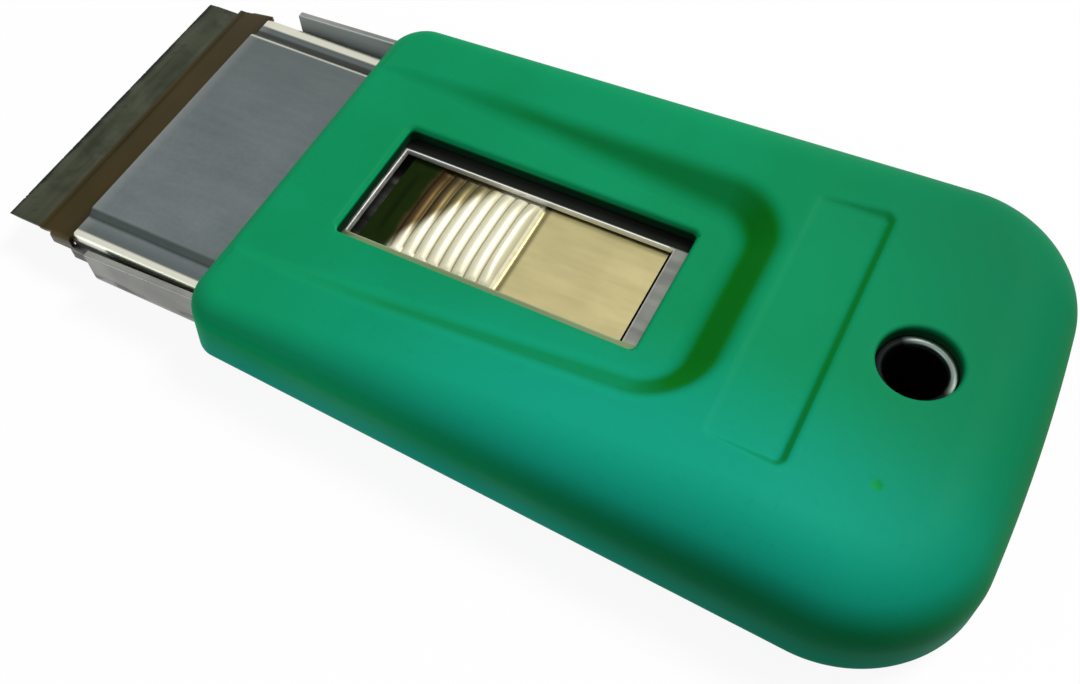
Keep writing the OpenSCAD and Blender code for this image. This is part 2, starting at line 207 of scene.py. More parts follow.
table_paint = bpy.data.materials.new("table_white")
table_paint.use_nodes = True
table = Recipe(table_paint.node_tree)
table_seen = seen_directly(table)
table_glow = table.node("ShaderNodeEmission", {"Color": WHITE, "Strength": 1})
from_hole = off_line(*position(table)[:2], HOLE_X, 0)
# Painted shadow: the table is painted near black in a disc under the hang hole and glows white only outside
# it.
outside_painted_shadow = from_hole.across((TABLE_SHADOW_R, TABLE_CLEAR_R))
table_colour = table.blend(outside_painted_shadow, TABLE_SHADOW_PAINT, table.blend(table_seen, TABLE_GREY, TABLE_PALE))
table_matt = table.node("ShaderNodeBsdfDiffuse", {"Color": table_colour})
table_share = TABLE_GLOW * table_seen * outside_painted_shadow
table_shade = table.node("ShaderNodeMixShader", [table_share, table_matt, table_glow])
table.node("ShaderNodeOutputMaterial", {"Surface": table_shade})

table_corners = [(-1, -1), (1, -1), (1, 1), (-1, 1)]
table_points = [(TABLE_HALF * x, TABLE_HALF * y, -TABLE_DROP) for x, y in table_corners]
table_top = new_piece("table_top", table_points, [(0, 1, 2, 3)])
table_top.data.materials.append(table_paint)

lamp("key_lamp", (0.40, 0.50, 0.98), 0.40, 12.5, (0.98, 1, 0.98))
lamp("near_lamp", (-0.45, -0.50, 0.40), 0.5, 1.0, (0.7, 0.95, 1))


# Handle
# One thick moulding of green plastic with a fine moulded grain. It is cored out for the steel sleeve,
# dished round the thumb window and tapers up to a fat rounded back.
def soft_max(first, second, radius):
    """The larger of two distances, with the edge where they meet rounded to the radius."""
    corner = np.hypot(np.maximum(first + radius, 0), np.maximum(second + radius, 0))
    return np.minimum(np.maximum(first, second), -radius) + corner


def box_mm(node):
    """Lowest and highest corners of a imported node, in millimetres."""
    return [np.array(corner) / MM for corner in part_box(node)]


handle_low, handle_high = box_mm("handle_shell")
MOUTH_X, REAR_X = handle_low[0], handle_high[0]
TOP_Z = handle_high[2]
MOUTH_HALF, REAR_HALF = 24.55, handle_high[1]
CORNER_R, BACK_R = 13.5, 240.0
LEVEL_X = 35.15
MOUTH_TOP_R, REAR_TOP_R, BASE_R = 2.6, 8.2, 2.8
MOUTH_LOW_R, MOUTH_HIGH_R = 2.2, 4.9
LEVEL_BLEND = 0.5
RECESS_Z, RECESS_END_X = 10.5, 22.55
RECESS_MOUTH_HALF, RECESS_REAR_HALF = 16.4, 11.7
RECESS_R, RECESS_RUN, RECESS_FILLET, RECESS_LIP = 3.8, 1.2, 0.9, 0.7
RECESS_LIP_SHARE, RECESS_LIP_LEAST = 0.6, 0.01
WINDOW_FRONT_X, WINDOW_BACK_X, WINDOW_HALF = -18.65, 17.6, 8.45
WINDOW_R, WINDOW_LIP, WINDOW_SINK = 0.8, 0.55, 1
FIELD_FRONT_X, FIELD_BACK_X, FIELD_HALF = 28.3, 35.4, 15.7
FIELD_R, FIELD_RUN, FIELD_DIP, FIELD_FOOT, FIELD_LIP = 0.4, 1.9, 0.16, 0.15, 0.15
BORE_R, SEAT_R = 3.65, 4.15
SEAT_TOP_Z, SEAT_BASE_Z, HOLE_LIP, BORE_LIP = 12.4, 0.9, 0.5, 0.1
GATE_X, GATE_Y, GATE_R, GATE_SINK, GATE_LIP = 44.4, -14.4, 1.2, 1.08, 0.05
CORE_HALF, CORE_LOW, CORE_HIGH, CORE_R, CORE_END_X, CORE_LIP = 22.2, 1.75, 8.25, 1.65, 50.85, 0.3


def top_height(x):
    """Height of the handle's top along it: a straight ramp that turns level without a corner."""
    ramp = RECESS_Z + (TOP_Z - RECESS_Z) * (x - MOUTH_X) / (LEVEL_X - MOUTH_X)
    return -soft_max(-ramp, -TOP_Z + 0 * ramp, LEVEL_BLEND)


def rounded_plan(x, y, front, back, half, radius):
    """Distance from a rounded rectangle in plan, where y has no sign."""
    ends = np.abs(x - (front + back) / 2) - (back - front) / 2
    return soft_max(ends, y - half, radius)


def handle_distance(x, y, z):
    """Distance from the moulding's surface in millimetres, below zero inside the plastic."""
    gate = np.sqrt((x - GATE_X) ** 2 + (y - GATE_Y) ** 2 + (z - TOP_Z - GATE_SINK) ** 2) - GATE_R
    y = np.abs(y)
    run = x - MOUTH_X
    flare = (REAR_HALF - MOUTH_HALF) / (REAR_X - CORNER_R - MOUTH_X)
    side = (y - MOUTH_HALF - flare * run) / math.hypot(1, flare)
    back = np.hypot(x - REAR_X + BACK_R, y) - BACK_R
    mouth_r = MOUTH_LOW_R + (MOUTH_HIGH_R - MOUTH_LOW_R) * np.clip(z / RECESS_Z, 0, 1)
    plan = soft_max(soft_max(side, back, CORNER_R), -run, mouth_r)
    rise = np.clip(run / (LEVEL_X - MOUTH_X), 0, 1)
    top = top_height(x)
    body = soft_max(plan, z - top, MOUTH_TOP_R + (REAR_TOP_R - MOUTH_TOP_R) * rise)
    body = soft_max(body, -z, BASE_R)

    narrowing = (RECESS_MOUTH_HALF - RECESS_REAR_HALF) / (RECESS_END_X - RECESS_R - MOUTH_X)
    dish_side = (y - RECESS_MOUTH_HALF + narrowing * run) / math.hypot(1, narrowing)
    dish_plan = soft_max(dish_side, x - RECESS_END_X, RECESS_R)
    dish_wall = (dish_plan - RECESS_RUN * (z - RECESS_Z)) / math.hypot(1, RECESS_RUN)
    dish = soft_max(dish_wall, RECESS_Z - z, RECESS_FILLET)
    lip = np.clip(RECESS_LIP_SHARE * (top - RECESS_Z), RECESS_LIP_LEAST, RECESS_LIP)
    body = soft_max(body, -dish, lip)

    window = rounded_plan(x, y, WINDOW_FRONT_X, WINDOW_BACK_X, WINDOW_HALF, WINDOW_R)
    body = soft_max(body, -np.maximum(window, CORE_LOW + WINDOW_SINK - z), WINDOW_LIP)

    field = rounded_plan(x, y, FIELD_FRONT_X, FIELD_BACK_X, FIELD_HALF, FIELD_R)
    field_floor = top_height(np.array(FIELD_FRONT_X)) - FIELD_DIP
    field_wall = (field - FIELD_RUN * (z - field_floor)) / math.hypot(1, FIELD_RUN)
    body = soft_max(body, -soft_max(field_wall, field_floor - z, FIELD_FOOT), FIELD_LIP)

    core = soft_max(y - CORE_HALF, np.maximum(z - CORE_HIGH, CORE_LOW - z), CORE_R)
    body = soft_max(body, -np.maximum(core, x - CORE_END_X), CORE_LIP)

    off_hole = np.hypot(x - HOLE_X, y)
    body = soft_max(body, BORE_R - off_hole, BORE_LIP)
    body = soft_max(body, -np.maximum(off_hole - SEAT_R, SEAT_TOP_Z - z), HOLE_LIP)
    body = soft_max(body, -np.maximum(off_hole - SEAT_R, z - SEAT_BASE_Z), HOLE_LIP)
    return soft_max(body, -gate, GATE_LIP)


def either_side(points, step):
    """Distances a step ahead of each point and a step behind it, along each axis in turn."""
    for shift in np.eye(3) * step:
        yield handle_distance(*(points + shift).T), handle_distance(*(points - shift).T)


def handle_slope(points, step=0.02):
    """Direction in which the distance grows at each point."""
    return np.stack([(ahead - behind) / (2 * step) for ahead, behind in either_side(points, step)], 1)


def settle(points, rounds, least=0.05):
    """Moves points onto the moulding's surface, taking no squared slope as lower than the least."""
    for _ in range(rounds):
        slope = handle_slope(points)
        steep = np.maximum((slope ** 2).sum(1), least)
        points = points - slope * (handle_distance(*points.T) / steep)[:, None]
    return points


def mesh_points(mesh):
    flat = np.empty(3 * len(mesh.vertices))
    mesh.vertices.foreach_get("co", flat)
    return flat.reshape(-1, 3)


def set_point_value(mesh, name, values):
    layer = mesh.attributes.new(name, "FLOAT", "POINT")
    layer.data.foreach_set("value", np.asarray(values, np.float32))


def plain_mesh(piece):
    """Turns a piece and its modifiers into a plain mesh."""
    graph = bpy.context.evaluated_depsgraph_get()
    graph.update()
    made = bpy.data.meshes.new_from_object(piece.evaluated_get(graph))
    piece.modifiers.clear()
    made.name = piece.name
    piece.data = made
    return piece


def whole_skin(mesh, sliver=0.001 * MM):
    """Leaves only the largest joined skin of a mesh and drops slivers."""
    body = bmesh.new()
    body.from_mesh(mesh)
    bmesh.ops.dissolve_degenerate(body, dist=sliver, edges=body.edges)
    left = set(body.faces)
    skins = []
    while left:
        front = [left.pop()]
        skin = list(front)
        while front:
            near = {other for edge in front.pop().edges for other in edge.link_faces} & left
            left -= near
            front += near
            skin += near
        skins.append(skin)
    skins.sort(key=len)
    for skin in skins[:-1]:
        bmesh.ops.delete(body, geom=skin, context="FACES")
    body.to_mesh(mesh)
    body.free()


HANDLE_STEP = 0.3
HANDLE_FACES = 180000
HANDLE_MARGIN = 3
axes = [np.arange(low - HANDLE_MARGIN * HANDLE_STEP, high + HANDLE_MARGIN * HANDLE_STEP, HANDLE_STEP)
        for low, high in zip(handle_low, handle_high)]
block = handle_distance(axes[0][:, None, None], axes[1][None, :, None], axes[2][None, None, :])
handle_grid = openvdb.FloatGrid(HANDLE_STEP)
handle_grid.copyFromArray(np.ascontiguousarray(block, np.float32))
handle_grid.transform = openvdb.createLinearTransform(HANDLE_STEP)
skin, quads = handle_grid.convertToQuads(0.0)
skin = settle(skin.astype(float) + [axis[0] for axis in axes], 3)
handle = new_piece("handle_moulding", (skin * MM).tolist(), quads.tolist())
thin = handle.modifiers.new("thin", "DECIMATE")
thin.use_collapse_triangulate = True
thin.ratio = min(1, HANDLE_FACES / (2 * len(quads)))
plain_mesh(handle)
handle_mesh = handle.data
whole_skin(handle_mesh)
skin = settle(mesh_points(handle_mesh) / MM, 2)
handle_mesh.vertices.foreach_set("co", (skin * MM).ravel())
handle_mesh.shade_smooth()
facing = handle_slope(skin)
facing /= np.linalg.norm(facing, axis=1)[:, None]
handle_mesh.normals_split_custom_set_from_vertices(facing.tolist())

# How sharply the surface turns outwards, which is where a hand rubs it, and how steep it is in its hollows,
# where steep walls get painted shade
RUB_STEP = 0.5
HOLLOW_HALF, HOLLOW_X, HOLLOW_REACH, HOLLOW_DROP = 18.5, 5, 32, 0.1
STEEP_FROM, STEEP_RUN, STEEP_LEAST = 0.97, 0.10, 0.45
SIDE_FROM, SIDE_RUN = 0.72, 0.35
turning = -6 * handle_distance(*skin.T)
for ahead, behind in either_side(skin, RUB_STEP):
    turning += ahead + behind
set_point_value(handle_mesh, "wear_and_highlight", np.clip(turning / RUB_STEP ** 2, 0, 2) / 2)
in_hollow = (np.abs(skin[:, 1]) < HOLLOW_HALF) & (np.abs(skin[:, 0] - HOLLOW_X) < HOLLOW_REACH)
in_hollow &= skin[:, 2] > RECESS_Z - HOLLOW_DROP
forward = np.clip(-2 * facing[:, 0], 0, 1)
steep = np.clip((STEEP_FROM - facing[:, 2]) / STEEP_RUN, 0, 1)
steep *= STEEP_LEAST + (1 - STEEP_LEAST) * forward
# How steep the sides outside the recess are, for their painted light and shade.
side_shading_share = np.clip((SIDE_FROM - facing[:, 2]) / SIDE_RUN, 0, 1)
set_point_value(handle_mesh, "hollow_shade", np.where(in_hollow, steep, 0))
set_point_value(handle_mesh, "side", np.where(in_hollow, 0, side_shading_share))


def finish(name, paint):
    """Material whose surface takes the values that the paint function returns."""
    material = bpy.data.materials.new(name)
    material.use_nodes = True
    recipe = Recipe(material.node_tree)
    surface = recipe.node("ShaderNodeBsdfPrincipled", paint(recipe))
    recipe.node("ShaderNodeOutputMaterial", {"Surface": surface})
    return material


def coat(piece, name, paint):
    piece.data.materials.clear()
    piece.data.materials.append(finish(name, paint))


def grain(recipe, scale, stretch=(1, 1, 1), detail=3, distortion=0):
    """Noise in the piece's own coordinates, with its spots pulled long where stretch is under 1."""
    place = recipe.node("ShaderNodeTexCoord", output="Object")
    pulled = recipe.node("ShaderNodeVectorMath", [place, stretch], operation="MULTIPLY")
    values = {"Vector": pulled, "Scale": scale, "Detail": detail, "Distortion": distortion}
    return recipe.node("ShaderNodeTexNoise", values)


def marked(recipe, name):
    return recipe.node("ShaderNodeAttribute", output="Fac", attribute_name=name)


def bump(recipe, height, depth, strength=0.5):
    """Fine relief whose depth is in millimetres."""
    values = {"Strength": strength, "Distance": depth * MM, "Height": height}
    return recipe.node("ShaderNodeBump", values)


def off_plan(x, y, front, back, half):
    """How far a point lies outside a rectangle in plan, whose sizes are in millimetres."""
    ends = (x - (front + back) / 2 * MM).size() - (back - front) / 2 * MM
    return ends.most(y.size() - half * MM)


FLANK_Y, FLANK_X, SHADE_RUN = (2, 20), (-30, 20), (28, 62)
SIDE_X, BOUNCE_Z, BOUNCE_Y, BOUNCE_X = (-25, 40), (1.5, 8.5), (10, 20), (0, 50)
GATE_SPOT, WINDOW_SHADE_OFF, HOLE_SHADE_OFF = (0.2, 0.9), (0.15, 0.45), (SEAT_R + 0.1, SEAT_R + 0.4)
WINDOW_SHADE_Z, HOLE_SHADE_Z = (RECESS_Z - 1.0, RECESS_Z - 0.45), (TOP_Z - 0.9, TOP_Z - 0.3)


def handle_paint(recipe):
    """Green plastic, painted with light and shade: near-side sheen and bounce, rear, side and recess-wall
    shade, black in window and hole.
    """
    x, y, z = position(recipe)
    cloud = grain(recipe, 60).smooth(0.35, 0.65)
    speck = grain(recipe, 900, detail=2).smooth(0.55, 0.75)
    wear_and_highlight = marked(recipe, "wear_and_highlight") * grain(recipe, 250).smooth(0.3, 0.7)
    # Painted sheen: the near side is painted a lighter, bluer green, more so towards the rear.
    painted_sheen = (0 - y).across(FLANK_Y) * x.across(FLANK_X)
    # Painted shade: the green is painted darker towards the far rear.
    shade = (x + 0.5 * y).across(SHADE_RUN)
    # Painted light and shade on the steep sides: pale teal towards the front, dark green towards the rear.
    side = marked(recipe, "side")
    painted_side_shading = recipe.blend(x.across(SIDE_X), (0.002, 0.52, 0.185), (0.0003, 0.17, 0.047))
    # Painted bounce light: the lower near side is painted pale, as if lit by the floor, less so towards the
    # rear.
    painted_floor_bounce = side * (1 - z.across(BOUNCE_Z)) * (0 - y).across(BOUNCE_Y)
    painted_floor_bounce = painted_floor_bounce * (0.95 - 0.6 * x.across(BOUNCE_X))
    gate = 1 - off_line(x, y, GATE_X, GATE_Y).across(GATE_SPOT)
    # Painted shade: the walls of the thumb window and of the hang hole are painted near black below their
    # top edges.
    off_window = off_plan(x, y, WINDOW_FRONT_X, WINDOW_BACK_X, WINDOW_HALF)
    in_window = (1 - off_window.across(WINDOW_SHADE_OFF)) * (1 - z.across(WINDOW_SHADE_Z))
    in_hole = 1 - off_line(x, y, HOLE_X, 0).across(HOLE_SHADE_OFF)
    in_hole = in_hole * (1 - z.across(HOLE_SHADE_Z))
    painted_deep_shade = in_window.most(in_hole * 0.8)
    green = recipe.blend(cloud, (0.0015, 0.245, 0.088), (0.0025, 0.270, 0.105))
    green = recipe.coats(green, [
        (painted_sheen, (0.0040, 0.330, 0.212)),
        (shade * 0.85, (0.0012, 0.165, 0.066)),
        (side * 0.9, painted_side_shading),
        (painted_floor_bounce, (0.012, 0.60, 0.43)),
        (speck * 0.1, (0.002, 0.20, 0.075)),
        (wear_and_highlight * 0.15, (0.005, 0.30, 0.15)),
        # Painted shade: steep recess walls painted deep green, most where they face the front.
        (marked(recipe, "hollow_shade"), (0.0002, 0.150, 0.007)),
        (gate * 0.8, (0.004, 0.30, 0.045)),
        (painted_deep_shade * 0.95, (0.001, 0.006, 0.003)),
    ])
    return {
        "Base Color": green,
        "Roughness": 0.6 + 0.08 * cloud - 0.06 * wear_and_highlight + 0.2 * painted_deep_shade,
        "Specular IOR Level": 0.07,
        "Normal": bump(recipe, grain(recipe, 2600, detail=2), 0.02),
    }


coat(handle, "handle_plastic", handle_paint)
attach(handle, "handle")
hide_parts("handle_shell")


# Guide sleeve
# A flat tube folded from bright steel sheet and pushed into the handle. Its front is an open trough,
# and its top has the window that the thumb reaches through.
BEND_STEPS, FOLD_STEPS, ROOM_SHARE = 6, 8, 0.48
WELD = 0.002 * MM
DRILL_SIDES, DRILL_PAST = 40, 1
EASE_TURN, SHARP_TURN, WORN_TURN = (math.radians(turn) for turn in (35, 50, 40))


def bent(corners, radius, steps=BEND_STEPS):
    """Section of a bent strip: straight runs with each corner rounded to the radius."""
    corners = [np.array(corner, float) for corner in corners]
    path = [corners[0]]
    for before, corner, after in zip(corners, corners[1:], corners[2:]):
        back = (before - corner) / np.linalg.norm(before - corner)
        ahead = (after - corner) / np.linalg.norm(after - corner)
        half = math.acos(np.clip(back @ ahead, -1, 1)) / 2
        room = ROOM_SHARE * min(np.linalg.norm(before - corner), np.linalg.norm(after - corner))
        reach = min(radius / math.tan(half), room)
        first, last = corner + reach * back, corner + reach * ahead
        for share in np.linspace(0, 1, steps + 1):
            pulled = (1 - share) ** 2 * first + 2 * share * (1 - share) * corner + share ** 2 * last
            path.append(pulled)
    path.append(corners[-1])
    return path


def mirrored(half):
    """The other half of a row of points, from its last point back to its first."""
    return [(x, -y, z) for x, y, z in reversed(half)]


def sheet_piece(name, grid, keep, sheet, ease):
    """Sheet metal piece: a grid of points on its outer face, in millimetres, with its thickness inside."""
    rows, columns = len(grid), len(grid[0])
    points = [tuple(np.array(point) * MM) for row in grid for point in row]
    faces = [(i * columns + j, (i + 1) * columns + j, (i + 1) * columns + j + 1, i * columns + j + 1)
             for i in range(rows - 1) for j in range(columns - 1) if keep(i, j)]
    piece = new_piece(name, points, faces)
    body = bmesh.new()
    body.from_mesh(piece.data)
    loose = [corner for corner in body.verts if not corner.link_faces]
    bmesh.ops.delete(body, geom=loose, context="VERTS")
    bmesh.ops.remove_doubles(body, verts=body.verts, dist=WELD)
    body.to_mesh(piece.data)
    body.free()
    wall = piece.modifiers.new("wall", "SOLIDIFY")
    wall.thickness = sheet * MM
    wall.offset = -1
    wall.use_even_offset = True
    ease_edges(piece, ease * MM)
    return piece


def drilled(piece, spots, radius, low, high):
    """Drills upright round holes through a piece, in millimetres."""
    body = bmesh.new()
    for x, y in spots:
        place = Matrix.Translation((x * MM, y * MM, (low + high) / 2 * MM))
        bmesh.ops.create_cone(body, cap_ends=True, segments=DRILL_SIDES, radius1=radius * MM,
                              radius2=radius * MM, depth=(high - low) * MM, matrix=place)
    mesh = bpy.data.meshes.new("drill")
    body.to_mesh(mesh)
    body.free()
    drill = placed("drill", mesh)
    hole = piece.modifiers.new("hole", "BOOLEAN")
    hole.solver = "EXACT"
    hole.object = drill
    plain_mesh(piece)
    bpy.data.objects.remove(drill)


def ease_edges(piece, ease):
    """Rounds a piece's sharp edges a little and marks them for wear."""
    bevel = piece.modifiers.new("ease", "BEVEL")
    bevel.width = ease
    bevel.segments = 2
    bevel.limit_method = "ANGLE"
    bevel.angle_limit = EASE_TURN
    plain_mesh(piece)
    mesh = piece.data
    if "custom_normal" in mesh.attributes:
        mesh.attributes.remove(mesh.attributes["custom_normal"])
    mesh.shade_smooth()
    mesh.set_sharp_from_angle(angle=SHARP_TURN)
    body = bmesh.new()
    body.from_mesh(mesh)
    turns = np.zeros(len(body.verts))
    for edge in body.edges:
        turn = edge.calc_face_angle_signed(0) if edge.is_manifold else 0
        for corner in edge.verts:
            turns[corner.index] = max(turns[corner.index], turn)
    body.free()
    set_point_value(mesh, "worn", np.clip(turns / WORN_TURN, 0, 1))


def metal(recipe, colour, rough, height, depth, metallic=1, strength=0.5):
    """Values of a metal surface with a fine relief."""
    normal = bump(recipe, height, depth, strength)
    return {"Base Color": colour, "Metallic": metallic, "Roughness": rough, "Normal": normal}


def steel_paint(recipe, dark, light, edge, streak, rough, smudge=None, smudge_share=0.0):
    """Rolled steel: fine streaks along the rolling, cloudy stains, edges worn bright."""
    lines = grain(recipe, 700, streak, detail=4).smooth(0.3, 0.7)
    cloud = grain(recipe, 180, detail=4, distortion=0.5).smooth(0.35, 0.68)
    worn = marked(recipe, "worn").smooth(0.6, 0.95) * grain(recipe, 900).smooth(0.25, 0.6)
    colour = recipe.blend(0.55 * lines + 0.45 * cloud, dark, light)
    if smudge:
        stain = grain(recipe, 330, detail=5, distortion=1).smooth(0.52, 0.66)
        colour = recipe.blend(stain * smudge_share, colour, smudge)
    colour = recipe.blend(worn * 0.8, colour, edge)
    return metal(recipe, colour, rough + 0.12 * lines - 0.1 * worn, lines + 0.6 * cloud, 0.006)


ALONG = (0.06, 1, 1)
ACROSS = (1, 0.06, 1)

sleeve_low, sleeve_high = box_mm("guide_sleeve")
SLEEVE_SHEET, SLEEVE_EASE, FOLD_R, SLOT_HALF, TROUGH_STEP = 0.8, 0.1, 1.6, 6.7, 0.2
TROUGH_END_X, ROOF_X, SLOT_FRONT_X, SLOT_BACK_X = -28.2, -26.65, -18.45, 15.55
SLEEVE_X = [sleeve_low[0], -40, -36, -32, TROUGH_END_X, TROUGH_END_X + TROUGH_STEP, ROOF_X, SLOT_FRONT_X]
SLEEVE_X += [-10, 0, 8, SLOT_BACK_X, 25, 35, sleeve_high[0]]
TOP_FACE_Z, SLOT_START_X = (8.1, 8.15), (-20, -19.5)
LEDGE_SHADE_Y, GREEN_REFLECTION_Y, WALL_FOOT_Z = (6.75, 7.0), (6.5, 6.7), (3.2, 5.2)
RIM_OFF, RIM_Z, RIM_END_X = (0.11, 0.16), (7, 7.2), (14.8, 15.2)
INNER_WALL_Y, OUTER_WALL_Y = (21, 21.2), (21.5, 21.6)


def sleeve_paint(recipe):
    """Plated steel: painted shade on the window's far ledge, a painted green reflection on its near ledge,
    a painted highlight on the slot's edge, the trough's far wall painted pale as lit, oil at the walls'
    feet.
    """
    x, y, z = position(recipe)
    stain = grain(recipe, 420, (0.5, 1, 1), detail=4, distortion=0.8)
    lines = grain(recipe, 700, ALONG, detail=4).smooth(0.3, 0.7)
    cloud = grain(recipe, 180, detail=4, distortion=0.5).smooth(0.35, 0.68)
    topmost = z.across(TOP_FACE_Z) * x.across(SLOT_START_X)
    # Painted shade: the top face along the window's far side is painted near black.
    painted_ledge_shade = y.across(LEDGE_SHADE_Y) * topmost
    # Painted reflection: the near ledge is painted a dim green, as the green handle would be mirrored in
    # it.
    painted_green_reflection = (0 - y).across(GREEN_REFLECTION_Y) * topmost
    foot = stain.smooth(0.50, 0.62) * (1 - z.across(WALL_FOOT_Z))
    off_slot = off_plan(x, y, SLOT_FRONT_X, SLOT_BACK_X, SLOT_HALF)
    # Painted highlight along the slot's cut edge, fading at its back end.
    painted_rim_highlight = (1 - off_slot.size().across(RIM_OFF)) * z.across(RIM_Z)
    painted_rim_highlight = painted_rim_highlight * (1 - 0.8 * x.across(RIM_END_X))
    # Painted light: the inner face of the trough's far wall is painted pale and nearly matt, as if lit.
    inside = y.between(INNER_WALL_Y, OUTER_WALL_Y)
    # Worn edges, together with the painted highlight on the slot's edge.
    worn = marked(recipe, "worn").smooth(0.6, 0.95).most(painted_rim_highlight)
    colour = recipe.blend(0.5 * lines + 0.5 * cloud, (0.16, 0.165, 0.15), (0.29, 0.295, 0.27))
    colour = recipe.coats(colour, [
        (worn * 0.9, (0.74, 0.73, 0.70)),
        (painted_green_reflection * 0.85, (0.15, 0.21, 0.09)),
        (inside * 0.95, (0.40, 0.415, 0.42)),
        ((painted_ledge_shade * 0.97).most(foot * 0.8), (0.008, 0.009, 0.007)),
    ])
    rough = 0.33 + 0.12 * lines + 0.2 * painted_ledge_shade.most(painted_rim_highlight).most(inside)
    return metal(recipe, colour, rough, lines + 0.6 * cloud, 0.006, 1 - 0.9 * inside)


wide, low_z, high_z = sleeve_high[1], sleeve_low[2], sleeve_high[2]
fold = bent([(0, low_z), (wide, low_z), (wide, high_z), (0, high_z)], FOLD_R, FOLD_STEPS)
fold.insert(-1, (SLOT_HALF, high_z))
upright = bent([(0, low_z), (wide, low_z), (wide, high_z)], FOLD_R, FOLD_STEPS)[:-1]
WALL_FRONT_Z, WALL_REAR_Z = 7.2, 8.1
sleeve_grid = []
for x in SLEEVE_X:
    along = (x - SLEEVE_X[0]) / (TROUGH_END_X - SLEEVE_X[0])
    wall_z = WALL_FRONT_Z + (WALL_REAR_Z - WALL_FRONT_Z) * along
    wall = [(wide, z) for z in np.linspace(upright[-1][1], wall_z, len(fold) - len(upright) + 1)[1:]]
    half = [(x, -y, z) for y, z in (upright + wall if x <= TROUGH_END_X else fold)]
    sleeve_grid.append(mirrored(half) + half[1:])
sleeve_columns = len(sleeve_grid[0])


def sleeve_keep(i, j):
    middle = (SLEEVE_X[i] + SLEEVE_X[i + 1]) / 2
    inmost = min(j, sleeve_columns - 2 - j)
    if middle < ROOF_X:
        return middle < TROUGH_END_X or inmost > 1
    return inmost > 0 or not SLOT_FRONT_X < middle < SLOT_BACK_X


sleeve = sheet_piece("sleeve_fold", sleeve_grid, sleeve_keep, SLEEVE_SHEET, SLEEVE_EASE)
drilled(sleeve, [(HOLE_X, 0)], BORE_R, low_z - DRILL_PAST, high_z + DRILL_PAST)
coat(sleeve, "sleeve_steel", sleeve_paint)
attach(sleeve, "handle")
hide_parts("guide_sleeve")


# Hang eyelet
# A short nickel tube pushed through handle and sleeve. Both ends are rolled over into smooth flanges.
def arc(middle, radius, start, end, count):
    """Points of an arc in a section, from one angle to another, in degrees."""
    turns = np.radians(np.linspace(start, end, count))
    return [(middle[0] + radius * math.cos(t), middle[1] + radius * math.sin(t)) for t in turns]


def ring_faces(rings, size, closed):
    """Faces between neighbouring rings of points, and from the last to the first where closed."""
    faces = []
    for ring in range(rings if closed else rings - 1):
        here, there = ring * size, (ring + 1) % rings * size
        for i in range(size):
            j = (i + 1) % size
            faces.append((here + i, here + j, there + j, there + i))
    return faces


def spun(name, section, middle, count):
    """Ring made by turning a closed section, in millimetres, about an upright line."""
    points = []
    for turn in range(count):
        angle = 2 * math.pi * turn / count
        for r, z in section:
            x = middle[0] + r * math.cos(angle)
            y = middle[1] + r * math.sin(angle)
            points.append((x * MM, y * MM, z * MM))
    piece = new_piece(name, points, ring_faces(count, len(section), True))
    piece.data.shade_smooth()
    return piece


eyelet_low, eyelet_high = box_mm("hang_eyelet")
EYELET_BORE_R, EYELET_WALL, EYELET_CURL_R = 3.2, 0.4, 0.4
EYELET_TURNS, CURL_POINTS = 96, 7
eyelet_edge = eyelet_high[0] - HOLE_X
barrel_r = EYELET_BORE_R + EYELET_WALL
curl = 0.5 * EYELET_WALL
throat = EYELET_BORE_R + EYELET_CURL_R
upper_end = arc((throat, eyelet_high[2] - EYELET_CURL_R), EYELET_CURL_R, 180, 90, CURL_POINTS)
upper_end += arc((eyelet_edge - curl, eyelet_high[2] - curl), curl, 90, -90, CURL_POINTS)
upper_end += [(barrel_r, eyelet_high[2] - EYELET_WALL)]
lower_end = [(r, eyelet_low[2] + eyelet_high[2] - z) for r, z in reversed(upper_end)]
eyelet = spun("eyelet_tube", upper_end + lower_end, (HOLE_X, 0), EYELET_TURNS)
GLINT_DIRECTION, EYELET_BRIGHT_Z = (0.60, 0.80), (eyelet_high[2] - 0.9, eyelet_high[2] - 0.3)


def eyelet_paint(recipe):
    """Nickel painted near black as the shade in the hang hole, with a painted glint on its upper end
    towards the far rear.
    """
    x, y, z = position(recipe)
    # Painted highlight: a glint on the tube's upper end, on its far rear side.
    glint_side = ((x - HOLE_X * MM) * GLINT_DIRECTION[0] + y * GLINT_DIRECTION[1]) / (EYELET_BORE_R * MM)
    spots = grain(recipe, 500, detail=4)
    bright = (glint_side + 0.3 * spots).smooth(0.35, 1.0) * z.across(EYELET_BRIGHT_Z)
    colour = recipe.blend(bright, (0.006, 0.007, 0.007), (0.20, 0.25, 0.22))
    return metal(recipe, colour, 0.5 - 0.2 * bright + 0.1 * spots, spots, 0.01, strength=0.4)


coat(eyelet, "eyelet_nickel", eyelet_paint)
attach(eyelet, "handle")
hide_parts("hang_eyelet")


# Carrier tray
# A pressed steel tray that slides in the sleeve. It carries the blade in front and ends in a flat tail
# for the thumb spring.
TRAY_EASE = 0.1 * MM


def tray_paint(recipe):
    return steel_paint(recipe, (0.06, 0.06, 0.054), (0.13, 0.13, 0.118), (0.4, 0.39, 0.36), ALONG, 0.4,
                       (0.04, 0.04, 0.035), 0.6)


def eased_copy(node, name, ease):
    """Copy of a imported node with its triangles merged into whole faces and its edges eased."""
    body = bmesh.new()
    body.from_mesh(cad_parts[node].data)
    bmesh.ops.remove_doubles(body, verts=body.verts, dist=WELD)
    flat_limit = math.radians(0.5)
    bmesh.ops.dissolve_limit(body, angle_limit=flat_limit, verts=body.verts, edges=body.edges)
    mesh = bpy.data.meshes.new(name)
    body.to_mesh(mesh)
    body.free()
    mesh.materials.clear()
    piece = placed(name, mesh)
    ease_edges(piece, ease)
    return piece


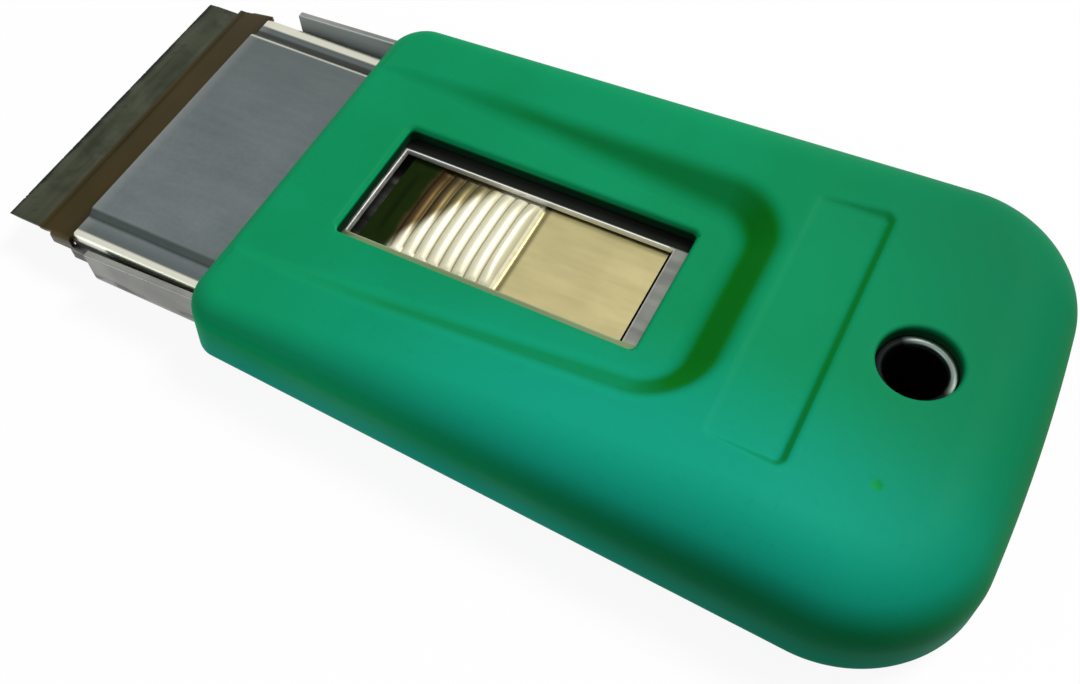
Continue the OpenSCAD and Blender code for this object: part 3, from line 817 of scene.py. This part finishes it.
tray = eased_copy("carrier_tray", "tray_pressing", TRAY_EASE)
coat(tray, "tray_steel", tray_paint)
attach(tray, "carrier")
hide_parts("carrier_tray")


# Blade studs and rivets
# Turned steel studs that the blade hooks over, and domed rivets that hold the cover and the thumb spring.
# Each pair is set through the tray and headed below it.
STUD_X, STUD_PITCH, COVER_RIVET_PITCH = -43.65, 24, 22
THUMB_RIVET_X, THUMB_RIVET_PITCH = 18.75, 11
PIN_SIDES, PIN_SHARP_TURN, PIN_OVERLAP = 48, math.radians(40), 0.01 * MM
DOME_SHARE, DOME_START = 0.7, 0.01 * MM
STUD = {"pin_r": 1.4, "top_r": 1.4, "top_h": 0.4, "head_h": 0.5}
RIVET = {"pin_r": 1.0, "top_r": 1.8, "top_h": 0.5, "head_h": 0.5}


def grown(name, shape, sizes, material):
    """Piece made by a Geometry Nodes tree with named sizes, as a plain mesh."""
    tree = bpy.data.node_groups.new(name, "GeometryNodeTree")
    tree.interface.new_socket("Shape", in_out="OUTPUT", socket_type="NodeSocketGeometry")
    for size in sizes:
        tree.interface.new_socket(size, in_out="INPUT", socket_type="NodeSocketFloat")
    tree.interface.new_socket("Finish", in_out="INPUT", socket_type="NodeSocketMaterial")
    recipe = Recipe(tree)
    given = {size: recipe.node("NodeGroupInput", output=size) for size in sizes}
    paint = recipe.node("NodeGroupInput", output="Finish")
    whole = recipe.node("GeometryNodeRealizeInstances", [shape(recipe, given)])
    painted = recipe.node("GeometryNodeSetMaterial", {"Geometry": whole, "Material": paint})
    recipe.node("NodeGroupOutput", [painted])
    piece = placed(name, bpy.data.meshes.new(name))
    maker = piece.modifiers.new("maker", "NODES")
    maker.node_group = tree
    for socket in tree.interface.items_tree:
        if socket.in_out == "INPUT":
            maker[socket.identifier] = material if socket.name == "Finish" else sizes[socket.name]
    return plain_mesh(piece)


def joined(recipe, parts):
    whole = recipe.node("GeometryNodeJoinGeometry")
    for part in parts:
        recipe.tree.links.new(part.socket, whole.socket.node.inputs[0])
    return whole


def vector(recipe, x, y, z):
    return recipe.node("ShaderNodeCombineXYZ", [x, y, z])


def domed_disc(recipe, radius, height, low, up):
    """Disc whose upper face is domed where up is 1, and its lower one where it is -1."""
    values = {
        "Vertices": PIN_SIDES, "Side Segments": 2, "Fill Segments": 5, "Radius": radius, "Depth": height,
    }
    disc = recipe.node("GeometryNodeMeshCylinder", values, fill_type="TRIANGLE_FAN")
    x, y, z = coordinates(recipe, recipe.node("GeometryNodeInputPosition"))
    fall = (x * x + y * y) / (radius * radius)
    sag = (z * up).smooth(0, DOME_START) * fall * fall * height * DOME_SHARE * up
    lift = vector(recipe, 0, 0, low + height / 2 - sag)
    return recipe.node("GeometryNodeSetPosition", {"Geometry": disc, "Offset": lift})


def rivet_pair(recipe, given):
    """Two headed pins side by side."""
    lower = domed_disc(recipe, given["Head Radius"], given["Head Height"], given["Base Z"], -1)
    pin_low = given["Base Z"] + given["Head Height"] * 0.5
    pin_high = given["Top Z"] - given["Top Height"]
    pin_length = pin_high - pin_low + PIN_OVERLAP
    values = {"Vertices": PIN_SIDES, "Radius": given["Pin Radius"], "Depth": pin_length}
    pin = recipe.node("GeometryNodeMeshCylinder", values)
    lift = vector(recipe, 0, 0, (pin_low + pin_high) * 0.5)
    pin = recipe.node("GeometryNodeSetPosition", {"Geometry": pin, "Offset": lift})
    upper = domed_disc(recipe, given["Top Radius"], given["Top Height"], pin_high, 1)
    whole = joined(recipe, [upper, pin, lower])
    start = vector(recipe, given["X"], given["Pitch"] * -0.5, 0)
    step = vector(recipe, 0, given["Pitch"], 0)
    spots = recipe.node("GeometryNodeMeshLine", {"Count": 2, "Start Location": start, "Offset": step})
    return recipe.node("GeometryNodeInstanceOnPoints", {"Points": spots, "Instance": whole})


def pin_spots(x, pitch):
    return [(x, -pitch / 2), (x, pitch / 2)]


def pair_of_pins(name, node, pitch, pin_r, top_r, top_h, head_h):
    low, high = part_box(node)
    sizes = {
        "X": (low.x + high.x) / 2, "Pitch": pitch * MM, "Pin Radius": pin_r * MM,
        "Head Radius": (high.x - low.x) / 2, "Head Height": head_h * MM, "Top Radius": top_r * MM,
        "Top Height": top_h * MM, "Base Z": low.z, "Top Z": high.z,
    }
    piece = grown(name, rivet_pair, sizes, fastener_steel)
    piece.data.shade_smooth()
    piece.data.set_sharp_from_angle(angle=PIN_SHARP_TURN)
    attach(piece, "carrier")
    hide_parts(node)


def fastener_paint(recipe):
    return steel_paint(recipe, (0.28, 0.28, 0.26), (0.5, 0.5, 0.47), (0.8, 0.8, 0.76), (1, 1, 1), 0.3)


fastener_steel = finish("fastener_steel", fastener_paint)
pair_of_pins("stud_pair", "blade_studs", STUD_PITCH, **STUD)
pair_of_pins("cover_rivet_pair", "cover_rivets", COVER_RIVET_PITCH, **RIVET)
pair_of_pins("thumb_rivet_pair", "thumb_rivets", THUMB_RIVET_PITCH, **RIVET)


# Razor blade
# A single-edged strip of hardened steel, ground to an edge on both faces. It is dark with oil and use,
# with small nicks along its edge.
blade_low, blade_high = box_mm("razor_blade")
BLADE_BEVEL, NICK_DEEP, NICK_SEED, BLADE_ROWS = 1.6, 0.1, 7, 240
BLADE_HOLE_R, BLADE_DRILL_Z, GROUND_TURN = 1.55, (4, 6), math.radians(4)
blade_rng = np.random.default_rng(NICK_SEED)
blade_y = np.linspace(blade_low[1], blade_high[1], BLADE_ROWS + 1)
nicks = NICK_DEEP * blade_rng.random(BLADE_ROWS + 1) ** 20
blade_middle = (blade_low[2] + blade_high[2]) / 2
ground_x = blade_low[0] + BLADE_BEVEL
blade_points = []
for y, nick in zip(blade_y, nicks):
    ring = [(blade_low[0] + nick, blade_middle), (ground_x, blade_high[2]), (blade_high[0], blade_high[2]),
            (blade_high[0], blade_low[2]), (ground_x, blade_low[2])]
    blade_points += [(x * MM, y * MM, z * MM) for x, z in ring]
sides = len(ring)
blade_faces = ring_faces(BLADE_ROWS + 1, sides, False)
blade_faces += [tuple(reversed(range(sides))), tuple(sides * BLADE_ROWS + i for i in range(sides))]
blade = new_piece("blade_strip", blade_points, blade_faces)
drilled(blade, pin_spots(STUD_X, STUD_PITCH), BLADE_HOLE_R, *BLADE_DRILL_Z)
blade.data.set_sharp_from_angle(angle=GROUND_TURN)
BURN_RUN, BURN_WANDER = (blade_low[0] + 0.3, blade_low[0] + 0.9), 0.4


def blade_paint(recipe):
    """Dark steel: grinding streaks along the edge, oily clouds, dark spots and a blackened edge."""
    x = position(recipe)[0]
    lines = grain(recipe, 900, ACROSS, detail=4).smooth(0.3, 0.7)
    cloud = grain(recipe, 260, detail=5, distortion=0.6).smooth(0.35, 0.65)
    spots = grain(recipe, 700, detail=3).smooth(0.62, 0.72)
    burnt = 1 - (x + BURN_WANDER * MM * cloud).across(BURN_RUN)
    colour = recipe.blend(0.5 * lines + 0.5 * cloud, (0.030, 0.034, 0.020), (0.066, 0.072, 0.048))
    colour = recipe.coats(colour, [
        (spots * 0.3, (0.02, 0.018, 0.012)),
        (burnt * 0.85, (0.008, 0.008, 0.007)),
    ])
    return metal(recipe, colour, 0.34 + 0.12 * cloud + 0.1 * spots, lines + cloud, 0.005)


coat(blade, "blade_steel", blade_paint)
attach(blade, "carrier")
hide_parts("razor_blade")


# Clamp nose
# A strip of spring steel browned by its hardening. It slopes down from the cover, presses on the blade
# with its lip, and is turned down at both ends to hold the blade's ends.
nose_low, nose_high = box_mm("clamp_nose")
NOSE_SHEET, NOSE_EASE, NOSE_LAND, NOSE_BEND_R, NOSE_FLANGE_HALF = 0.5, 0.08, 0.8, 1.5, 14.6
NOSE_LAND_Z, NOSE_TOP_Z, TAB_FRONT, TAB_BACK = 5.7, 6.4, -50.7, -47.7
TAB_STEP, TAB_ROLL = 0.02, 0.55
nose_side = bent([(nose_low[0], NOSE_LAND_Z), (nose_low[0] + NOSE_LAND, NOSE_LAND_Z),
                  (TAB_BACK, NOSE_TOP_Z), (nose_high[0], NOSE_TOP_Z)], NOSE_BEND_R)
known_x, known_z = zip(*sorted([*map(tuple, nose_side), (TAB_BACK + TAB_STEP, NOSE_TOP_Z)]))
nose_x = sorted([*known_x, TAB_FRONT])
nose_half = nose_high[1]
nose_grid = []
for x in nose_x:
    z = float(np.interp(x, known_x, known_z))
    side = bent([(nose_half, nose_low[2]), (nose_half, z), (NOSE_FLANGE_HALF, z)], TAB_ROLL)
    half = [(x, -y, tall) for y, tall in side]
    nose_grid.append(half + mirrored(half))
nose_folds = len(side)


def nose_keep(i, j):
    x = (nose_x[i] + nose_x[i + 1]) / 2
    middle = nose_folds - 1
    if j == middle:
        return True
    if x > TAB_BACK + 1.5 * TAB_STEP:
        return False
    return TAB_FRONT < x or BEND_STEPS <= min(j, 2 * nose_folds - 2 - j)


nose = sheet_piece("nose_strip", nose_grid, nose_keep, NOSE_SHEET, NOSE_EASE)
PALE_START, PALE_END = (nose_low[0], nose_low[0] + 1.6), (TAB_BACK - 1.6, TAB_BACK + 0.4)


def nose_paint(recipe):
    """Brown steel: darker along the lip and next to the cover, paler between."""
    x = position(recipe)[0]
    lines = grain(recipe, 700, ACROSS, detail=4).smooth(0.3, 0.7)
    cloud = grain(recipe, 160, (1, 0.5, 1), detail=3).smooth(0.3, 0.7)
    pale_span = x.between(PALE_START, PALE_END)
    pale = 0.25 * lines + 0.35 * cloud + 0.4 * pale_span
    colour = recipe.blend(pale, (0.013, 0.012, 0.002), (0.046, 0.031, 0.005))
    colour = recipe.blend(marked(recipe, "worn") * 0.35, colour, (0.14, 0.10, 0.05))
    return metal(recipe, colour, 0.36 + 0.12 * lines, lines + cloud, 0.004)


coat(nose, "nose_steel", nose_paint)
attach(nose, "carrier")
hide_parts("clamp_nose")


# Cover plate
# A satin steel pressing over the blade: a raised middle panel between two side bands with rolled edges.
# Its back drops to a flange that is riveted to the tray.
cover_low, cover_high = box_mm("cover_plate")
COVER_SHEET, PANEL_HALF, SHOULDER, BAND_Z, ROLL_R = 0.6, 16.0, 0.8, 6.4, 1.2
TONGUE_HALF, DROP_X, FOOT_X, FOOT_Z = 15.4, -28.15, -26.65, 5.5
COVER_SPARE, COVER_EASE, SHOULDER_R, DROP_R, ROLL_STEPS = 0.6, 0.09, 0.5, 0.9, 10
ROLL_PAST, DROP_LEAD, PANEL_LEAD, PANEL_STATIONS, STATION_SLACK = 0.7, 1, 2, 13, 0.001
cover_z = cover_high[2]
cover_half = cover_high[1] - COVER_SPARE
cover_edge = [(cover_half, cover_low[2]), (cover_half, BAND_Z), (PANEL_HALF + SHOULDER, BAND_Z)]
cover_side = bent(cover_edge + [(PANEL_HALF, cover_z), (TONGUE_HALF, cover_z)], SHOULDER_R, FOLD_STEPS)
shoulder = [point for point in cover_side if point[0] < PANEL_HALF + SHOULDER + ROLL_PAST]
cover_side = bent(cover_edge, ROLL_R, ROLL_STEPS)[:-1] + shoulder
cover_drop = [(DROP_X - DROP_LEAD, cover_z), (DROP_X, cover_z), (FOOT_X, FOOT_Z), (cover_high[0], FOOT_Z)]
cover_stations = [(x, cover_z) for x in np.linspace(cover_low[0], DROP_X - PANEL_LEAD, PANEL_STATIONS)]
cover_stations += [tuple(point) for point in bent(cover_drop, DROP_R)]
cover_grid = []
for x, z in cover_stations:
    half = [(x, -y, tall + z - cover_z) for y, tall in cover_side]
    cover_grid.append(half + mirrored(half))
cover_folds = len(cover_side)


def cover_keep(i, j):
    return j == cover_folds - 1 or cover_stations[i + 1][0] <= DROP_X + STATION_SLACK


cover = sheet_piece("cover_pressing", cover_grid, cover_keep, COVER_SHEET, COVER_EASE)
CREASE_START, CREASE_END, CREASE_SHIFT = (15.85, 16.2), (16.75, 17.3), 0.55
PANEL_RIM_START, PANEL_RIM_END, BAND_Y = (15.7, 15.95), (16.05, 16.4), (17.2, 18.6)
ROLL_Y, ROLL_Z, ROLL_SHIFT = (18.85, 19.2), (5.55, 5.75), 0.5
UNDER_Y, UNDER_Z, FAR_Y, FAR_SHADE_Y = (19.6, 19.9), (5.45, 5.7), (-6, 6), (-4, 18)


def cover_paint(recipe):
    """Satin steel: painted shade at each shoulder's foot, under the rolled edges and towards the far side,
    a painted highlight on the panel's far edge, rolled edges worn bright by the sleeve and given a painted
    highlight.
    """
    _, y, z = position(recipe)
    off = y.size()
    lines = grain(recipe, 900, (0.12, 1, 1), detail=3).smooth(0.3, 0.7)
    cloud = grain(recipe, 110, detail=3).smooth(0.3, 0.7)
    fine = grain(recipe, 1600, detail=2).smooth(0.3, 0.7)
    far = y.across(FAR_Y)
    # Painted shade: a dark line at the foot of each shoulder, set a little further out on the far side.
    painted_crease_shade = (off - CREASE_SHIFT * MM * far).between(CREASE_START, CREASE_END)
    # Painted highlight along the panel's far edge.
    painted_rim_highlight = off.between(PANEL_RIM_START, PANEL_RIM_END) * far
    band = off.across(BAND_Y)
    # Rolled edges painted bright: wear from the sleeve and a painted highlight, set further in on the far
    # side.
    roll = (off + ROLL_SHIFT * MM * far).across(ROLL_Y) * z.across(ROLL_Z)
    # Painted shade under the rolled edges.
    under = off.across(UNDER_Y) * (1 - z.across(UNDER_Z))
    pale = 0.15 * lines + 0.6 * cloud + 0.25 * fine
    colour = recipe.blend(pale, (0.112, 0.134, 0.138), (0.145, 0.168, 0.170))
    colour = recipe.coats(colour, [
        # Painted shade: darker towards the far side.
        (y.across(FAR_SHADE_Y) * 0.5, (0.085, 0.100, 0.098)),
        (band * 0.75, (0.085, 0.100, 0.100)),
        ((roll * 0.95).most(painted_rim_highlight * 0.7), (0.68, 0.67, 0.56)),
        ((painted_crease_shade * 0.85).most(under * 0.9), (0.028, 0.030, 0.024)),
        (marked(recipe, "worn") * (1 - painted_crease_shade) * 0.3, (0.5, 0.5, 0.45)),
    ])
    rough = 0.38 + 0.08 * lines - 0.1 * roll + 0.2 * under
    return metal(recipe, colour, rough, fine + 0.3 * lines, 0.002)


coat(cover, "cover_steel", cover_paint)
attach(cover, "carrier")
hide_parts("cover_plate")


# Thumb spring
# A leaf of yellow-plated spring steel riveted to the tray's tail. A crowned hump with ribs across it is
# pressed into the leaf where the thumb pushes.
spring_low, spring_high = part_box("thumb_spring")
LEAF_COLUMNS, LEAF_ROWS, HUMP_SHARE = 330, 81, 0.8
HUMP_PAST, HUMP_FRONT, HUMP_DEEPEST = 0.4 * MM, 1.2 * MM, -1 * MM
RAMP_SOFT, FOOT_SOFT, RIB_SOFT, RIB_FADE = 0.2 * MM, 0.12 * MM, 0.05 * MM, 0.5 * MM
GROOVE_START, GROOVE_END, GROOVE_RISE, LEAF_WELD = (-0.8, -0.6), (0.7, 0.9), (0, 0.15), 0.001 * MM


def soft_least(first, second, soft):
    """The smaller of two heights, with the corner between them rounded off."""
    gap = first - second
    return 0.5 * (first + second - (gap ** 2 + soft ** 2) ** 0.5)


def leaf_shape(recipe, given):
    """A flat grid bent into the leaf: rounded tip, crowned hump with ribs, flat pad, step and seat."""
    values = {"Size X": 1, "Size Y": 1, "Vertices X": LEAF_COLUMNS, "Vertices Y": LEAF_ROWS}
    grid = recipe.node("GeometryNodeMeshGrid", values)
    u, v, _ = coordinates(recipe, recipe.node("GeometryNodeInputPosition"))
    u = u + 0.5
    dense_end = given["Hump X"] + given["Hump Length"] + HUMP_PAST
    front_x = given["Tip X"] + (dense_end - given["Tip X"]) * (u / HUMP_SHARE).least(1)
    x = front_x + (given["End X"] - dense_end) * ((u - HUMP_SHARE) / (1 - HUMP_SHARE)).most(0)
    short = (given["Corner"] - (x - given["Tip X"])).most(0)
    half = given["Half Width"] - given["Corner"] + (given["Corner"] ** 2 - short ** 2).most(0) ** 0.5
    y = v * 2 * half

    along = x - given["Hump X"]
    rib_end = given["Rib Lead"] + (given["Rib Count"] - 1) * given["Rib Pitch"]
    aside = y / given["Hump Half"]
    crown = given["Hump Rise"] * (1 - aside.size() ** 3)
    sunk = given["Front Drop"] * ((1 - along / rib_end).most(0).least(1)) ** 1.5
    ramp = given["Hump Rise"] * (given["Hump Length"] - along) / given["Hump Slope"]
    front = along.smooth(0, HUMP_FRONT)
    lift = soft_least((crown - sunk) * front, ramp, RAMP_SOFT).most(HUMP_DEEPEST)
    hump = (0 - soft_least(0 - lift, 0, FOOT_SOFT)).most(0)

    turn = (along - given["Rib Lead"]) / given["Rib Pitch"]
    nearest = turn.maths("ROUND", turn).most(0).least(given["Rib Count"] - 1)
    off = (turn - nearest) * given["Rib Pitch"]
    rib = (given["Rib Radius"] ** 2 - off ** 2).most(0) ** 0.5 - given["Rib Radius"] + given["Rib Proud"]
    rib = 0 - soft_least(0 - rib, 0, RIB_SOFT)
    rib = rib * (1 - y.size().smooth(given["Rib Half"] - RIB_FADE, given["Rib Half"]))
    step = given["Drop"] * x.smooth(given["Pad End"], given["Pad End"] + given["Step Run"])
    z = given["Leaf Z"] + hump + rib - step
    ribbed = (along - given["Rib Lead"]).across(GROOVE_START)
    ribbed = ribbed * (1 - (along - rib_end).across(GROOVE_END)) * hump.across(GROOVE_RISE)
    # Share of painted shade in the valleys between the ribs, stored for the finish.
    painted_groove_shade = (1 - rib / given["Rib Proud"]) * ribbed
    values = {"Geometry": grid, "Name": "painted_groove_shade", "Value": painted_groove_shade}
    grid = recipe.node("GeometryNodeStoreNamedAttribute", values, data_type="FLOAT")
    values = {"Geometry": grid, "Position": vector(recipe, x, y, z - given["Sheet"])}
    under = recipe.node("GeometryNodeSetPosition", values)
    up = vector(recipe, 0, 0, given["Sheet"])
    values = {"Mesh": under, "Offset": up, "Offset Scale": 1, "Individual": False}
    over = recipe.node("GeometryNodeExtrudeMesh", values, mode="FACES")
    whole = joined(recipe, [over, recipe.node("GeometryNodeFlipFaces", [under])])
    return recipe.node("GeometryNodeMergeByDistance", {"Geometry": whole, "Distance": LEAF_WELD})


HUMP_EDGE_X, SLOPE_X, FRONT_SHADE_X = (-0.4, 0), (-1.25, -0.85), (-12.5, -6)
HIGHLIGHT_X, HIGHLIGHT_LEAN, HIGHLIGHT_RUN = -12.7, 1.55, (-6, -2.5)
TIP_X, TIP_WANDER = (-13.9, -12.9), 0.6
FOOT_SHADOW_START, FOOT_SHADOW_END = (-0.4, -0.1), (0.3, 0.9)


def spring_paint(recipe):
    """Yellow plating: ribs pale from wear and a painted highlight, painted shade between the ribs, on the
    hump's front, at the tip and at the hump's foot.
    """
    x, y, _ = position(recipe)
    lines = grain(recipe, 900, (0.15, 1, 1), detail=3).smooth(0.3, 0.7)
    cloud = grain(recipe, 160, detail=4, distortion=0.4).smooth(0.3, 0.7)
    # Painted shade in the valleys between the ribs.
    painted_groove_shade = marked(recipe, "painted_groove_shade").smooth(0.7, 1.0)
    on_hump = 1 - x.across(HUMP_EDGE_X)
    # Pale wear and a painted highlight on the hump, brightest towards its near side.
    reach = 1 - (y - HIGHLIGHT_LEAN * (x - HIGHLIGHT_X * MM)).across(HIGHLIGHT_RUN)
    slope = on_hump * x.across(SLOPE_X)
    wear_and_highlight = on_hump * reach * (1 - 0.25 * slope)
    # Painted shade and a painted reflection of the green handle: the leaf's front end is painted near black
    # green.
    tip = 1 - (x + cloud * TIP_WANDER * MM).across(TIP_X)
    # Painted shadow: a dark line where the hump meets the flat pad.
    painted_foot_shadow = x.between(FOOT_SHADOW_START, FOOT_SHADOW_END)
    # Painted shade: the hump is painted darker brown towards its front.
    painted_front_shade = recipe.blend(x.across(FRONT_SHADE_X), (0.06, 0.038, 0.014), (0.26, 0.225, 0.11))
    colour = recipe.blend(0.3 * lines + 0.7 * cloud, (0.435, 0.378, 0.185), (0.500, 0.438, 0.222))
    colour = recipe.coats(colour, [
        (on_hump, painted_front_shade),
        (wear_and_highlight * 0.95, (0.74, 0.695, 0.52)),
        (painted_groove_shade * 0.75, (0.085, 0.066, 0.028)),
        (tip * 0.95, (0.008, 0.020, 0.003)),
        (painted_foot_shadow * 0.8, (0.10, 0.085, 0.038)),
    ])
    rough = 0.28 + 0.05 * lines + 0.18 * on_hump + 0.1 * painted_groove_shade + 0.25 * tip.most(slope)
    return metal(recipe, colour, rough, lines + cloud, 0.003, 1 - 0.55 * wear_and_highlight)


THUMB_HOLE_R, THUMB_DRILL_Z = 1.2, (4, 7)
leaf_sizes = {
    "Tip X": spring_low.x, "End X": spring_high.x, "Half Width": spring_high.y, "Corner": 2 * MM,
    "Hump X": -16.45 * MM, "Hump Length": 16.5 * MM, "Hump Slope": 1.6 * MM, "Hump Half": 6.65 * MM,
    "Hump Rise": 1 * MM, "Front Drop": 0.6 * MM, "Rib Lead": 3.7 * MM, "Rib Pitch": 1.63 * MM,
    "Rib Count": 8, "Rib Radius": 0.9 * MM, "Rib Proud": 0.4 * MM, "Rib Half": 6.5 * MM,
    "Pad End": 15.0 * MM, "Step Run": 0.8 * MM, "Leaf Z": 7.1 * MM, "Drop": 1.6 * MM, "Sheet": 0.6 * MM,
}
spring = grown("thumb_leaf", leaf_shape, leaf_sizes, finish("spring_steel", spring_paint))
drilled(spring, pin_spots(THUMB_RIVET_X, THUMB_RIVET_PITCH), THUMB_HOLE_R, *THUMB_DRILL_Z)
spring.data.shade_smooth()
spring.data.set_sharp_from_angle(angle=SHARP_TURN)
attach(spring, "thumb")
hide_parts("thumb_spring")
